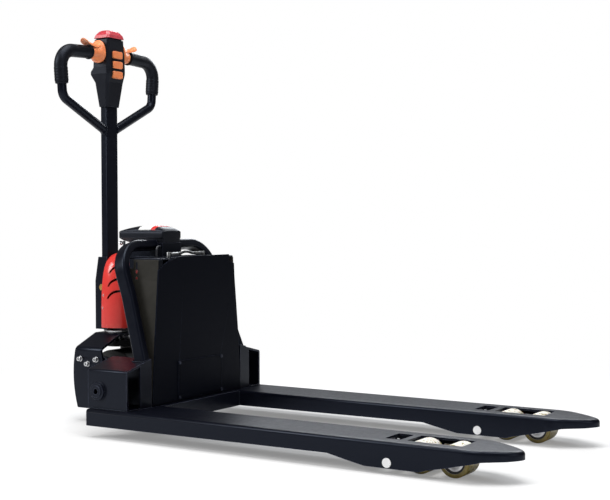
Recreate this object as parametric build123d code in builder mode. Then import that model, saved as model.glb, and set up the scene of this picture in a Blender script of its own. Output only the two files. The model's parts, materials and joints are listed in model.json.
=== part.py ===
from build123d import *
import os

# Electric pallet truck, lowered, tiller upright.
# Frame: +X runs from the operator's end to the fork tips, +Z is up, the floor
# is Z = 0 and the origin is the middle of the truck's footprint on the floor.
# Stations along the truck are measured from the heel of the forks; cx moves
# them to the frame's origin. "left" is +Y and "right" is -Y, as the operator
# sees it when looking at the forks.

os.makedirs("parts", exist_ok=True)

# ---------------------------------------------------------------- dimensions
cx = 508.0              # fork heel to the origin

fork_width = 160.0      # one fork
fork_span = 685.0       # outside of both forks
fork_y = (fork_span - fork_width) / 2
fork_top = 80.0         # lowered height
fork_tip = 1290.0       # heel to tip, 1150 in front of the cover plate
fork_wall = 5.0
lift = 105.0            # travel of the fork frame

steer_x = -169.0        # steering axis
wheel_r = 105.0         # drive wheel
wheel_w = 70.0
arch_out = 150.0        # half width of the chassis arch
arch_t = 8.0
arch_top = 265.0

plate_x = 140.0         # front face of the cover plate
plate_t = 4.0
plate_base = 217.0      # half width at the bottom
plate_shoulder = 186.0  # half width at the shoulder

cyl_x = -20.0           # lift cylinder
rocker_x, rocker_z = 33.0, 131.0      # torsion shaft of the lift rocker
rocker_r = 17.0
lever_x, lever_z = -133.5, 183.5      # rocker pin on the chassis
rod_z = 63.3            # centre line of the push rods
rod_back_x = 11.6       # rod pins at the rocker and at the roller arm
rod_front_x = 947.7
pin_x, pin_z = 969.0, 29.0            # roller arm pivot in the fork
bogie_x, bogie_z = 1078.0, 40.0       # tandem pivot on the arm
roller_r = 40.0
roller_w = 66.0
roller_pitch = 92.0

tiller_x = -209.5       # centre of the tiller tube
tiller_dx, tiller_dy = 25.0, 52.0
pivot_z = 405.0         # tiller tilt axis
grip_z = 1134.0         # hand loop axis at the head
tube_r = 14.0
grip_r = 20.0

C = Align.CENTER
LOW = (Align.CENTER, Align.CENTER, Align.MIN)


def side(y):
    """Upright plane along the truck: local x = station, local y = height.
    Its normal is -Y, so a positive extrusion goes towards -Y."""
    return Plane(origin=(-cx, y, 0), x_dir=(1, 0, 0), z_dir=(0, -1, 0))


def plan(z):
    """Level plane: local x = station, local y = Y."""
    return Plane(origin=(-cx, 0, z), x_dir=(1, 0, 0), z_dir=(0, 0, 1))


def across(x):
    """Upright plane across the truck: local x = Y, local y = height."""
    return Plane(origin=(x - cx, 0, 0), x_dir=(0, 1, 0), z_dir=(1, 0, 0))


def at(x, y, z):
    return (x - cx, y, z)


def save(part, name):
    part.label = name
    export_step(part, "parts/" + name + ".step")


# ================================================================== chassis
arch_bolt_spots = [(-199, 192), (-169, 178), (-134, 193)]

# Bent plate portal over the drive wheel: two cheeks, two sloped shoulders and
# a flat top that carries the steering bearing.
with BuildPart() as chassis_arch:
    with BuildSketch(across(steer_x - 63)):
        with BuildLine():
            Polyline((-150, 42), (-150, 226), (-60, 265), (60, 265), (150, 226), (150, 42),
                     (142, 42), (142, 220.75), (58.33, 257), (-58.33, 257), (-142, 220.75),
                     (-142, 42), close=True)
        make_face()
    extrude(amount=126)
    outer_bends = chassis_arch.edges().filter_by(Axis.X).filter_by(
        lambda e: (abs(abs(e.center().Y) - 150) < 0.1 and abs(e.center().Z - 226) < 0.1)
        or (abs(abs(e.center().Y) - 60) < 0.1 and abs(e.center().Z - 265) < 0.1))
    fillet(outer_bends, radius=14)
    inner_bends = chassis_arch.edges().filter_by(Axis.X).filter_by(
        lambda e: (abs(abs(e.center().Y) - 142) < 0.1 and abs(e.center().Z - 220.75) < 0.1)
        or (abs(abs(e.center().Y) - 58.33) < 0.1 and abs(e.center().Z - 257) < 0.1))
    fillet(inner_bends, radius=6)
    # the cheeks bulge a little at mid height and narrow towards the floor
    with BuildSketch(side(0)):
        with BuildLine():
            ThreePointArc((-213, 42), (-229, 140), (-220, 226))
            Polyline((-220, 226), (-220, 275), (-118, 275), (-118, 226))
            ThreePointArc((-118, 226), (-109, 140), (-125, 42))
            Line((-125, 42), (-213, 42))
        make_face()
    extrude(amount=170, both=True, mode=Mode.INTERSECT)
    with Locations(at(steer_x, 0, arch_top)):
        Cylinder(32, 60, mode=Mode.SUBTRACT)
    with BuildSketch(side(0)):
        with Locations(*arch_bolt_spots):
            Circle(4.2)
    extrude(amount=170, both=True, mode=Mode.SUBTRACT)
save(chassis_arch.part, "chassis_arch")

# Welded plates inside the arch: they carry the cylinder foot and the pins on
# which the rocker's levers hang.
with BuildPart() as chassis_frame:
    for y0 in (142, -134):
        with BuildSketch(side(y0)):
            with BuildLine():
                Polyline((-206, 74), (-206, 202), (-112, 202), (-70, 160), (2, 116), (2, 62),
                         (-190, 62), close=True)
            make_face()
        extrude(amount=8)
    with Locations(at(-22, 0, 67)):
        Box(48, 268, 10)
    with Locations(at(-49, 0, 82)):
        Box(6, 268, 30)
    with BuildSketch(side(0)):
        with Locations(*arch_bolt_spots):
            Circle(4.2)
    extrude(amount=170, both=True, mode=Mode.SUBTRACT)
    for y0 in (134.0, -117.0):
        with BuildSketch(side(y0)):
            with Locations((lever_x, lever_z)):
                Circle(8)
        extrude(amount=17)
save(chassis_frame.part, "chassis_frame")

# Six flanged socket screws, three in each cheek, tapped into the frame plates.
with BuildPart() as arch_bolts:
    for s in (-1, 1):
        for bx, bz in arch_bolt_spots:
            with BuildSketch(side(s * 150)):
                with Locations((bx, bz)):
                    Circle(8.5)
            extrude(amount=-s * 2)
            with BuildSketch(side(s * 152)):
                with Locations((bx, bz)):
                    Circle(6.5)
            extrude(amount=-s * 9)
            with BuildSketch(side(s * 161)):
                with Locations((bx, bz)):
                    RegularPolygon(radius=3.6, side_count=6)
            extrude(amount=s * 5, mode=Mode.SUBTRACT)
            with BuildSketch(side(s * 150)):
                with Locations((bx, bz)):
                    Circle(4)
            extrude(amount=s * 15.8)
save(arch_bolts.part, "arch_bolts")

# Lift cylinder: foot flange, barrel and gland.
with BuildPart() as lift_cylinder:
    with Locations(at(cyl_x, 0, 72)):
        Cylinder(22, 10, align=LOW)
    with Locations(at(cyl_x, 0, 80)):
        Cylinder(25, 250, align=LOW)
    with Locations(at(cyl_x, 0, 84)):
        Cylinder(20, 234, align=LOW, mode=Mode.SUBTRACT)
    with Locations(at(cyl_x, 0, 310)):
        Cylinder(15.08, 30, align=LOW, mode=Mode.SUBTRACT)
    chamfer(lift_cylinder.edges().filter_by(GeomType.CIRCLE).sort_by(Axis.Z)[-2:].sort_by(SortBy.RADIUS)[-1], length=2)
save(lift_cylinder.part, "lift_cylinder")

with BuildPart() as piston_rod:
    with Locations(at(cyl_x, 0, 86)):
        Cylinder(19.92, 20, align=LOW)
    with Locations(at(cyl_x, 0, 106)):
        Cylinder(15, 356, align=LOW)
save(piston_rod.part, "piston_rod")

# =============================================================== drive unit
# Turntable: disc on the arch with its neck through the bearing hole.
with BuildPart() as turntable:
    with Locations(at(steer_x, 0, arch_top + 0.5)):
        Cylinder(52, 7.5, align=LOW)
    with Locations(at(steer_x, 0, 240)):
        Cylinder(31.5, 26, align=LOW)
    chamfer(turntable.edges().filter_by(GeomType.CIRCLE).sort_by(Axis.Z)[-1], length=1.2)
save(turntable.part, "turntable")

# Single sided wheel carrier with the gear housing round the axle.
with BuildPart() as gearbox_housing:
    with Locations(at(steer_x, 0, 222)):
        Cylinder(50, 18, align=LOW)
    with Locations(at(steer_x, 51, 150)):
        Box(76, 18, 150)
    with BuildSketch(side(42)):
        with Locations((steer_x, wheel_r)):
            Circle(50)
    extrude(amount=-40)
    fillet(gearbox_housing.faces().sort_by(Axis.Y)[-1].edges(), radius=6)
    with BuildSketch(side(90)):
        with PolarLocations(38, 6):
            Circle(3.3)
    extrude(amount=-1, mode=Mode.SUBTRACT)
    with BuildSketch(side(0)):
        with Locations((steer_x, wheel_r)):
            Circle(12.5)
    extrude(amount=-60, mode=Mode.SUBTRACT)
save(gearbox_housing.part, "gearbox_housing")

with BuildPart() as drive_hub:
    with BuildSketch(side(35)):
        with Locations((steer_x, wheel_r)):
            Circle(79.9)
    extrude(amount=70)
    for y0, d in ((35, 24), (-35, -24)):
        with BuildSketch(side(y0)):
            with Locations((steer_x, wheel_r)):
                Circle(70)
                Circle(30, mode=Mode.SUBTRACT)
        extrude(amount=d, mode=Mode.SUBTRACT)
    with BuildSketch(side(40)):
        with Locations((steer_x, wheel_r)):
            with PolarLocations(50, 6):
                Circle(8)
    extrude(amount=80, mode=Mode.SUBTRACT)
    with BuildSketch(side(60)):
        with Locations((steer_x, wheel_r)):
            Circle(12.45)
    extrude(amount=102)
    with BuildSketch(side(-35)):
        with Locations((steer_x, wheel_r)):
            RegularPolygon(radius=18, side_count=6)
    extrude(amount=9)
save(drive_hub.part, "drive_hub")

with BuildPart() as drive_tyre:
    with BuildSketch(side(35)):
        with Locations((steer_x, wheel_r)):
            Circle(wheel_r)
            Circle(80, mode=Mode.SUBTRACT)
    extrude(amount=70)
    fillet(drive_tyre.edges().filter_by(GeomType.CIRCLE).filter_by(lambda e: e.radius > 90), radius=5)
save(drive_tyre.part, "drive_tyre")

# Upright traction motor on the turntable, under the cover.
with BuildPart() as drive_motor:
    with Locations(at(-149, 0, 273)):
        Cylinder(38, 12, align=LOW)
    with Locations(at(-149, 0, 285)):
        Cylinder(35, 120, align=LOW)
    with Locations(at(-149, 0, 405)):
        Cylinder(33, 30, align=LOW)
    fillet(drive_motor.edges().filter_by(GeomType.CIRCLE).sort_by(Axis.Z)[-1], radius=6)
    with Locations(at(-149, 0, 435)):
        Cylinder(9, 8, align=LOW)
save(drive_motor.part, "drive_motor")

# Moulded cover: domed, round in plan, cut flat at the back for the tiller base.
cover_profile = [(66.5, 281), (66.0, 335), (64.8, 388), (61.8, 420), (55.5, 455), (45.5, 482), (30, 501), (0, 513)]
core_profile = [(63.5, 270), (63.0, 335), (61.8, 387), (58.9, 418.5), (52.8, 452.5), (43.2, 479.5), (28.7, 498), (0, 509.5)]
with BuildPart() as cover_core:
    with BuildSketch(Plane(origin=at(steer_x, 0, 0), x_dir=(1, 0, 0), z_dir=(0, -1, 0))):
        with BuildLine():
            Spline(*core_profile, tangents=((0, 1), (-1, 0)))
            Polyline((0, 509.5), (0, 270), (63.5, 270))
        make_face()
    revolve(axis=Axis(at(steer_x, 0, 0), (0, 0, 1)))
    with Locations(at(-189 - 50, 0, 400)):
        Box(100, 200, 400, mode=Mode.SUBTRACT)
with BuildPart() as motor_cover:
    with BuildSketch(Plane(origin=at(steer_x, 0, 0), x_dir=(1, 0, 0), z_dir=(0, -1, 0))):
        with BuildLine():
            Spline(*cover_profile, tangents=((0, 1), (-1, 0)))
            Polyline((0, 513), (0, 281), (66.5, 281))
        make_face()
    revolve(axis=Axis(at(steer_x, 0, 0), (0, 0, 1)))
    with Locations(at(-191.8 - 50, 0, 400)):
        Box(100, 200, 400, mode=Mode.SUBTRACT)
    add(cover_core.part, mode=Mode.SUBTRACT)
    # three hooked louvres on each flank
    for s in (-1, 1):
        for z0 in (452, 411, 373):
            with BuildSketch(side(s * 80)):
                with BuildLine():
                    upper = ThreePointArc((-166, z0), (-155, z0 + 16), (-118, z0 + 24))
                    lower = ThreePointArc((-159, z0), (-150, z0 + 10.5), (-118, z0 + 17.5))
                    ThreePointArc(upper @ 1, (-115, z0 + 20.75), lower @ 1)
                    ThreePointArc(upper @ 0, (-162.5, z0 - 3), lower @ 0)
                make_face()
            extrude(amount=s * 58, mode=Mode.SUBTRACT)
save(motor_cover.part, "motor_cover")

# Folded channel that carries the tiller's tilt pin.
with BuildPart() as tiller_base:
    for y0 in (36, -30):
        with BuildSketch(side(y0)):
            with BuildLine():
                Polyline((-192, 273), (-240, 273), (-240, 425), (-227, 500), (-192, 500), close=True)
            make_face()
        extrude(amount=6)
    with Locations(at(-194.2, 0, 376.5)):
        Box(4.4, 60, 207)
    with Locations(at(-216, 0, 277)):
        Box(48, 60, 8)
    with BuildSketch(side(0)):
        with Locations((tiller_x, pivot_z)):
            Circle(7.05)
    extrude(amount=60, both=True, mode=Mode.SUBTRACT)
save(tiller_base.part, "tiller_base")

# Tilt pin with a head, a nut and two nylon washers beside the tube.
with BuildPart() as tiller_pivot_pin:
    with BuildSketch(side(44)):
        with Locations((tiller_x, pivot_z)):
            Circle(7)
    extrude(amount=88)
    for y0 in (41, -36.1):
        with BuildSketch(side(y0)):
            with Locations((tiller_x, pivot_z)):
                RegularPolygon(radius=11, side_count=6)
        extrude(amount=4.9)
    for y0 in (29.8, -26.4):
        with BuildSketch(side(y0)):
            with Locations((tiller_x, pivot_z)):
                Circle(12)
                Circle(7.1, mode=Mode.SUBTRACT)
        extrude(amount=3.4)
save(tiller_pivot_pin.part, "tiller_pivot_pin")

# =================================================================== tiller
with BuildPart() as tiller_tube:
    with BuildSketch(plan(pivot_z)):
        with Locations((tiller_x, 0)):
            RectangleRounded(tiller_dx, tiller_dy, 3)
    extrude(amount=1003 - pivot_z)
    with BuildSketch(side(tiller_dy / 2)):
        with Locations((tiller_x, pivot_z)):
            Circle(tiller_dx / 2)
    extrude(amount=tiller_dy)
    with BuildSketch(plan(pivot_z + 22)):
        with Locations((tiller_x, 0)):
            Rectangle(tiller_dx - 6, tiller_dy - 6)
    extrude(amount=700, mode=Mode.SUBTRACT)
    with BuildSketch(side(0)):
        with Locations((tiller_x, pivot_z)):
            Circle(7.06)
    extrude(amount=60, both=True, mode=Mode.SUBTRACT)
save(tiller_tube.part, "tiller_tube")

# Hand loop: one bent round tube on each side, from the head out, down and
# back to the tiller tube, with a rubber grip over the upper corner.
for s, hand in ((-1, "right"), (1, "left")):
    with BuildPart() as handle_tube:
        with BuildLine(across(tiller_x)) as loop_line:
            FilletPolyline((s * 22, 1134), (s * 87, 1134), (s * 218, 1127.5), (s * 207, 988), (s * 20, 896.5), radius=[30, 50, 34])
        with BuildSketch(Plane(origin=loop_line.line @ 0, z_dir=loop_line.line % 0)):
            Circle(tube_r)
            Circle(tube_r - 3, mode=Mode.SUBTRACT)
        sweep()
        with Locations(at(tiller_x, 0, 900)):
            Box(60, tiller_dy + 0.02, 120, mode=Mode.SUBTRACT)
    save(handle_tube.part, hand + "_handle_tube")

    with BuildPart() as grip:
        with BuildLine(across(tiller_x)) as grip_line:
            FilletPolyline((s * 90, 1133.851), (s * 218, 1127.5), (s * 210.391, 1031), radius=50)
        with BuildSketch(Plane(origin=grip_line.line @ 0, z_dir=grip_line.line % 0)):
            Circle(grip_r)
            Circle(tube_r + 0.1, mode=Mode.SUBTRACT)
        sweep()
    save(grip.part, hand + "_grip")


def eight_sides(x0, x1, w, c):
    """Corner-cut rectangle in plan, for the faceted control head."""
    return [(x0 + c, -w), (x1 - c, -w), (x1, -w + c), (x1, w - c), (x1 - c, w), (x0 + c, w), (x0, w - c), (x0, -w + c)]


button_z = [1131.0, 1100.0, 1069.0]
head_sections = [(970, -227, -191, 31, 6), (1046, -237, -180, 40, 8), (1072, -254, -173, 43, 9),
                 (1080, -254, -172.5, 43, 9), (1093, -243, -172.5, 43, 9), (1150, -241, -175, 40.5, 8),
                 (1179, -239, -177, 38.5, 7)]
with BuildPart() as head_housing:
    for z, x0, x1, w, c in head_sections:
        with BuildSketch(plan(z)):
            with BuildLine():
                Polyline(*eight_sides(x0, x1, w, c), close=True)
            make_face()
    loft(ruled=True)
    with Locations(at(-208, 0, 1179)):
        Box(50, 62, 13, align=LOW)
    # room for the tube, the electronics and the throttle link
    with Locations(at(tiller_x, 0, 960)):
        Box(tiller_dx + 0.2, tiller_dy + 0.2, 43.2, align=LOW, mode=Mode.SUBTRACT)
    with Locations(at(-210, 0, 1003)):
        Box(36, 56, 60, align=LOW, mode=Mode.SUBTRACT)
    with Locations(at(-209, 0, 1052)):
        Box(52, 70, 120, align=LOW, mode=Mode.SUBTRACT)
    with BuildSketch(side(0)):
        with Locations((tiller_x, grip_z)):
            Circle(tube_r + 1)
    extrude(amount=60, both=True, mode=Mode.SUBTRACT)
    with BuildSketch(side(0)):
        with Locations((tiller_x, grip_z + 22)):
            RectangleRounded(38, 13, 4)
    extrude(amount=60, both=True, mode=Mode.SUBTRACT)
    for bz in button_z:
        with Locations(at(-176, 0, bz)):
            Box(26, 45, 24, mode=Mode.SUBTRACT)
save(head_housing.part, "head_housing")

# Safety button on the very top: a cap over the head's neck.
with BuildPart() as belly_button:
    for z, x0, x1, w, c in [(1183.5, -241, -175, 39.5, 7), (1193, -238, -177, 38, 8), (1204, -229, -184, 31, 9), (1208, -221, -191, 24, 8)]:
        with BuildSketch(plan(z)):
            with BuildLine():
                Polyline(*eight_sides(x0, x1, w, c), close=True)
            make_face()
    loft(ruled=True)
    with Locations(at(-208, 0, 1180)):
        Box(52, 64, 17.5, align=LOW, mode=Mode.SUBTRACT)
save(belly_button.part, "belly_button")

for bz, name in zip(button_z, ("raise_button", "lower_button", "horn_button")):
    with BuildPart() as push_button:
        with BuildSketch(across(-184)):
            with Locations((0, bz)):
                RectangleRounded(43.8, 22.8, 6)
        extrude(amount=14.5)
        with BuildSketch(across(-188)):
            with Locations((0, bz)):
                Rectangle(48, 26)
        extrude(amount=4.6)
        fillet(push_button.faces().sort_by(Axis.X)[-1].edges(), radius=2)
    save(push_button.part, name)

# Butterfly throttle: a cam disc beside the head on each side, turning on the
# hand loop tube, with a thumb paddle over the grip.
for s, hand in ((-1, "right"), (1, "left")):
    with BuildPart() as throttle_cam:
        with BuildSketch(side(s * 44)):
            with BuildLine():
                cam = CenterArc((tiller_x, grip_z), 30, 150, 250)
                ThreePointArc(cam @ 1, (tiller_x + 2, grip_z + 41), cam @ 0)
            make_face()
        extrude(amount=-s * 12)
        with BuildSketch(side(s * 56)):
            with Locations((tiller_x, grip_z)):
                Circle(25)
        with BuildSketch(side(s * 84)):
            with Locations((tiller_x, grip_z)):
                Circle(19)
        loft()
        # paddle
        with BuildSketch(side(s * 58)):
            with BuildLine():
                outside = CenterArc((tiller_x, grip_z), 33.5, 72, 55)
                inside = CenterArc((tiller_x, grip_z), 21.3, 72, 55)
                Line(outside @ 0, inside @ 0)
                Line(outside @ 1, inside @ 1)
            make_face()
        extrude(amount=-s * 62)
        with BuildSketch(side(s * 40)):
            with Locations((tiller_x, grip_z)):
                Circle(tube_r + 0.35)
        extrude(amount=-s * 50, mode=Mode.SUBTRACT)
        with BuildSketch(side(s * 44)):
            with Locations((tiller_x, grip_z + 24)):
                Circle(3.05)
        extrude(amount=-s * 6, mode=Mode.SUBTRACT)
    save(throttle_cam.part, hand + "_throttle")

with BuildPart() as throttle_link:
    with BuildSketch(side(49.9)):
        with Locations((tiller_x, grip_z + 24)):
            Circle(3)
    extrude(amount=99.8)
save(throttle_link.part, "throttle_link")

# =============================================================== fork frame
for s, hand in ((-1, "right"), (1, "left")):
    yc = s * fork_y
    h = fork_width / 2
    with BuildPart() as fork:
        # plan outline with a tapered, rounded nose
        with BuildSketch(plan(10)):
            with BuildLine():
                Polyline((1165, yc - h), (0, yc - h), (0, yc + h), (1165, yc + h))
                Spline((1165, yc + h), (1215, yc + 65), (1262, yc + 37), (fork_tip, yc), (1262, yc - 37), (1215, yc - 65),
                       (1165, yc - h), tangents=((1, 0), (-1, 0)))
            make_face()
        extrude(amount=70)
        # side outline: thin to the middle, deeper round the roller arm, nose
        with BuildSketch(side(yc)):
            with BuildLine():
                Polyline((0, 80), (1150, 80), (1292, 75.5), (1292, 56), (1262, 54), (1208, 52), (1111, 29), (1072, 21),
                         (1054, 15), (906, 15), (853, 25), (800, 36), (0, 33), close=True)
            make_face()
        extrude(amount=h + 5, both=True, mode=Mode.INTERSECT)
        top_rim = fork.edges().filter_by(
            lambda e: e.center().Z > 66 and (abs(abs(e.center().Y - yc) - h) < 0.6 or e.center().X > 1150 - cx)
            and abs(e.bounding_box().size.X) > 20)
        fillet(top_rim, radius=9)
        # hollow underside, with a small inturned foot along the thin part
        with BuildSketch(side(yc)):
            with BuildLine():
                Polyline((-5, 75), (1150, 75), (1192, 73), (1186, 10), (815, 10), (815, 42), (-5, 39), close=True)
            make_face()
        extrude(amount=h - fork_wall, both=True, mode=Mode.SUBTRACT)
        with Locations(at(406, yc, 35)):
            Box(824, fork_width - 34, 30, mode=Mode.SUBTRACT)
        # openings over the rollers, with a bridge between them
        with BuildSketch(plan(70)):
            with Locations((962, yc)):
                RectangleRounded(44, 76, 5)
            with Locations((1076, yc)):
                RectangleRounded(148, 82, 6)
        extrude(amount=20, mode=Mode.SUBTRACT)
        # shallow seat for the box at the heel
        with Locations(at(71, yc, 80)):
            Box(142, fork_width + 10, 1, mode=Mode.SUBTRACT)
        # slot at the heel for the rocker's arm
        with Locations(at(38, yc, 77)):
            Box(74, 36, 12, mode=Mode.SUBTRACT)
        with BuildSketch(side(yc)):
            with Locations((pin_x, pin_z)):
                Circle(8.03)
        extrude(amount=h + 5, both=True, mode=Mode.SUBTRACT)
    save(fork.part, hand + "_fork")

    # arm that swings the rollers down, with the lug for the push rod
    with BuildPart() as roller_arm:
        for y0 in (yc + 54, yc - 46):
            with BuildSketch(side(y0)):
                with Locations((pin_x, pin_z)):
                    Circle(13)
                with Locations((bogie_x, bogie_z)):
                    Circle(13)
                with BuildLine():
                    Polyline((pin_x - 1.3, pin_z + 12.93), (bogie_x - 1.3, bogie_z + 12.93), (bogie_x + 1.3, bogie_z - 12.93),
                             (pin_x + 1.3, pin_z - 12.93), close=True)
                make_face()
            extrude(amount=8)
        with BuildSketch(side(yc + 47)):
            with Locations((pin_x, pin_z)):
                Circle(13)
        extrude(amount=94)
        with BuildSketch(side(yc + 6)):
            with BuildLine():
                Polyline((pin_x - 10, pin_z + 6), (rod_front_x - 7, 66), (rod_front_x + 3, 70), (pin_x + 10, pin_z + 9), close=True)
            make_face()
            with Locations((rod_front_x, 62.6)):
                Circle(8)
        extrude(amount=12)
        with BuildSketch(side(yc + 13)):
            with Locations((rod_front_x, 62.6)):
                Circle(4.5)
        extrude(amount=26)
        for y0 in (yc + 47, yc - 36.6):
            with BuildSketch(side(y0)):
                with Locations((bogie_x, bogie_z)):
                    Circle(8)
            extrude(amount=10.4)
        with BuildSketch(side(yc)):
            with Locations((pin_x, pin_z)):
                Circle(8.06)
        extrude(amount=60, both=True, mode=Mode.SUBTRACT)
    save(roller_arm.part, hand + "_roller_arm")

    # tandem bogie: two cheeks on the arm's stubs, joined by the roller axles
    with BuildPart() as bogie:
        for y0 in (yc + 43.5, yc - 37.5):
            with BuildSketch(side(y0)):
                with BuildLine():
                    Polyline((1032, 52), (1060, 60), (1066, 66), (1090, 66), (1096, 60), (1124, 52), (1124, 28), (1032, 28), close=True)
                make_face()
                with Locations((1032, 40), (1124, 40)):
                    Circle(12)
                with Locations((bogie_x, bogie_z)):
                    Circle(8.06, mode=Mode.SUBTRACT)
            extrude(amount=6)
        for ax in (1032, 1124):
            with BuildSketch(side(yc + 38)):
                with Locations((ax, 40)):
                    Circle(8)
            extrude(amount=76)
    save(bogie.part, hand + "_bogie")

    for ax, place in ((1032, "inner"), (1124, "outer")):
        with BuildPart() as roller_hub:
            with BuildSketch(side(yc + roller_w / 2 - 1)):
                with Locations((ax, roller_r)):
                    Circle(29.95)
            extrude(amount=roller_w - 2)
            for y0, d in ((yc + roller_w / 2 - 1, 6), (yc - roller_w / 2 + 1, -6)):
                with BuildSketch(side(y0)):
                    with Locations((ax, roller_r)):
                        Circle(25)
                        Circle(13, mode=Mode.SUBTRACT)
                extrude(amount=d, mode=Mode.SUBTRACT)
            with BuildSketch(side(yc)):
                with Locations((ax, roller_r)):
                    Circle(8.06)
            extrude(amount=60, both=True, mode=Mode.SUBTRACT)
        save(roller_hub.part, hand + "_" + place + "_roller_hub")

        with BuildPart() as roller_tyre:
            with BuildSketch(side(yc + roller_w / 2)):
                with Locations((ax, roller_r)):
                    Circle(roller_r)
                    Circle(30, mode=Mode.SUBTRACT)
            extrude(amount=roller_w)
            fillet(roller_tyre.edges().filter_by(GeomType.CIRCLE).filter_by(lambda e: e.radius > 35), radius=3)
        save(roller_tyre.part, hand + "_" + place + "_roller_tyre")

    # push rod: flat bar with a forked end at each pin
    with BuildPart() as push_rod:
        with Locations(at((rod_back_x + rod_front_x) / 2, yc, 63)):
            Box(rod_front_x - rod_back_x - 44, 12, 16)
        for y0 in (yc + 12, yc - 6.5):
            with BuildSketch(side(y0)):
                with Locations((rod_back_x + 22, 63)):
                    Rectangle(62, 17)
                with Locations((rod_front_x - 22, 64.5)):
                    Rectangle(62, 17)
            extrude(amount=5.5)
            with BuildSketch(side(y0)):
                with Locations((rod_back_x, 61.6)):
                    Rectangle(10.2, 3.4)
                with Locations((rod_back_x, 63.3), (rod_back_x, 59.9)):
                    Circle(5.1)
                with Locations((rod_front_x, 65.7)):
                    Rectangle(10.2, 6.4)
                with Locations((rod_front_x, 62.5), (rod_front_x, 68.9)):
                    Circle(5.1)
            extrude(amount=5.5, mode=Mode.SUBTRACT)
        for ex in (rod_back_x + 40, rod_front_x - 40):
            with Locations(at(ex, yc, 63)):
                Box(20, 13, 12)
    save(push_rod.part, hand + "_push_rod")

    # folded sheet box on the fork heel, with the bearing collar welded on
    with BuildPart() as heel_bracket:
        with BuildSketch(across(-6)):
            with BuildLine():
                Polyline((s * 219, 79.5), (s * 327, 79.5), (s * 327, 192), (s * 219, 218), close=True)
            make_face()
        extrude(amount=143)
        fillet(heel_bracket.edges().filter_by(Axis.X).sort_by(lambda e: abs(abs(e.center().Y) - 327) + abs(e.center().Z - 192))[0], radius=8)
        with BuildSketch(across(-16)):
            with BuildLine():
                Polyline((s * 225, 70), (s * 321, 70), (s * 321, 187.3), (s * 225, 210.4), close=True)
            make_face()
        extrude(amount=147, mode=Mode.SUBTRACT)
        with BuildSketch(across(120)):
            with BuildLine():
                Polyline((s * 266, 70), (s * 321, 70), (s * 321, 187.3), (s * 266, 200.5), close=True)
            make_face()
        extrude(amount=40, mode=Mode.SUBTRACT)
        with BuildSketch(side(s * 327)):
            with Locations((rocker_x, rocker_z)):
                Circle(25)
        extrude(amount=-s * 9)
        chamfer(heel_bracket.faces().sort_by(Axis.Y)[-1 if s > 0 else 0].edges(), length=1.5)
        with BuildSketch(side(0)):
            with Locations((rocker_x, rocker_z)):
                Circle(rocker_r + 0.08)
        extrude(amount=400, both=True, mode=Mode.SUBTRACT)
    save(heel_bracket.part, hand + "_heel_bracket")

# Rocker: torsion shaft through both heel brackets, two levers back to the
# chassis pins and two arms down to the push rods.
with BuildPart() as rocker:
    with BuildSketch(side(339.5)):
        with Locations((rocker_x, rocker_z)):
            Circle(rocker_r)
    extrude(amount=679)
    for s in (-1, 1):
        with BuildSketch(side(s * 339.5)):
            with Locations((rocker_x, rocker_z)):
                RegularPolygon(radius=9, side_count=6)
        extrude(amount=s * 16, mode=Mode.SUBTRACT)
    for y0 in (131, -119):
        with BuildSketch(side(y0)):
            with Locations((rocker_x, rocker_z)):
                Circle(25)
            with Locations((lever_x, lever_z)):
                Circle(19)
            with BuildLine():
                Polyline((rocker_x + 7.6, rocker_z + 23.8), (lever_x + 5.7, lever_z + 18.1), (lever_x - 5.7, lever_z - 18.1),
                         (rocker_x - 7.6, rocker_z - 23.8), close=True)
            make_face()
            # open pivot: a slot round the chassis pin, longer towards the shaft
            with Locations((lever_x - 1, lever_z + 0.3), (lever_x + 9.5, lever_z - 3)):
                Circle(9.4, mode=Mode.SUBTRACT)
            with BuildLine():
                Polyline((lever_x + 1.82, lever_z + 9.27), (lever_x + 12.32, lever_z + 5.97), (lever_x + 6.68, lever_z - 11.97),
                         (lever_x - 3.82, lever_z - 8.67), close=True)
            make_face(mode=Mode.SUBTRACT)
        extrude(amount=12)
    for yc in (fork_y, -fork_y):
        with BuildSketch(side(yc + 6)):
            with Locations((rocker_x, rocker_z)):
                Circle(24)
            with Locations((rod_back_x, rod_z)):
                Circle(9)
            with BuildLine():
                Polyline((rocker_x - 22, rocker_z + 6), (rod_back_x - 8.6, rod_z + 2.7), (rod_back_x + 8.6, rod_z - 2.7),
                         (rocker_x + 22, rocker_z - 6), close=True)
            make_face()
        extrude(amount=12)
        with BuildSketch(side(yc + 13)):
            with Locations((rod_back_x, rod_z)):
                Circle(4.5)
        extrude(amount=26)
save(rocker.part, "rocker")

# One pin through each fork, with a collar at each face.
with BuildPart() as fork_pins:
    for yc in (fork_y, -fork_y):
        with BuildSketch(side(yc + 80)):
            with Locations((pin_x, pin_z)):
                Circle(8)
        extrude(amount=160)
        for y0, d in ((yc + 80, -1.8), (yc - 80, 1.8)):
            with BuildSketch(side(y0)):
                with Locations((pin_x, pin_z)):
                    Circle(12)
            extrude(amount=d)
save(fork_pins.part, "fork_pins")

# Cross member between the forks, open underneath.
with BuildPart() as cross_member:
    with Locations(at(109, 0, 56.5)):
        Box(98, 2 * (fork_y - 80), 47)
    with Locations(at(109, 0, 50.5)):
        Box(86, 2 * (fork_y - 80) - 12, 47, mode=Mode.SUBTRACT)
save(cross_member.part, "cross_member")

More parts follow.
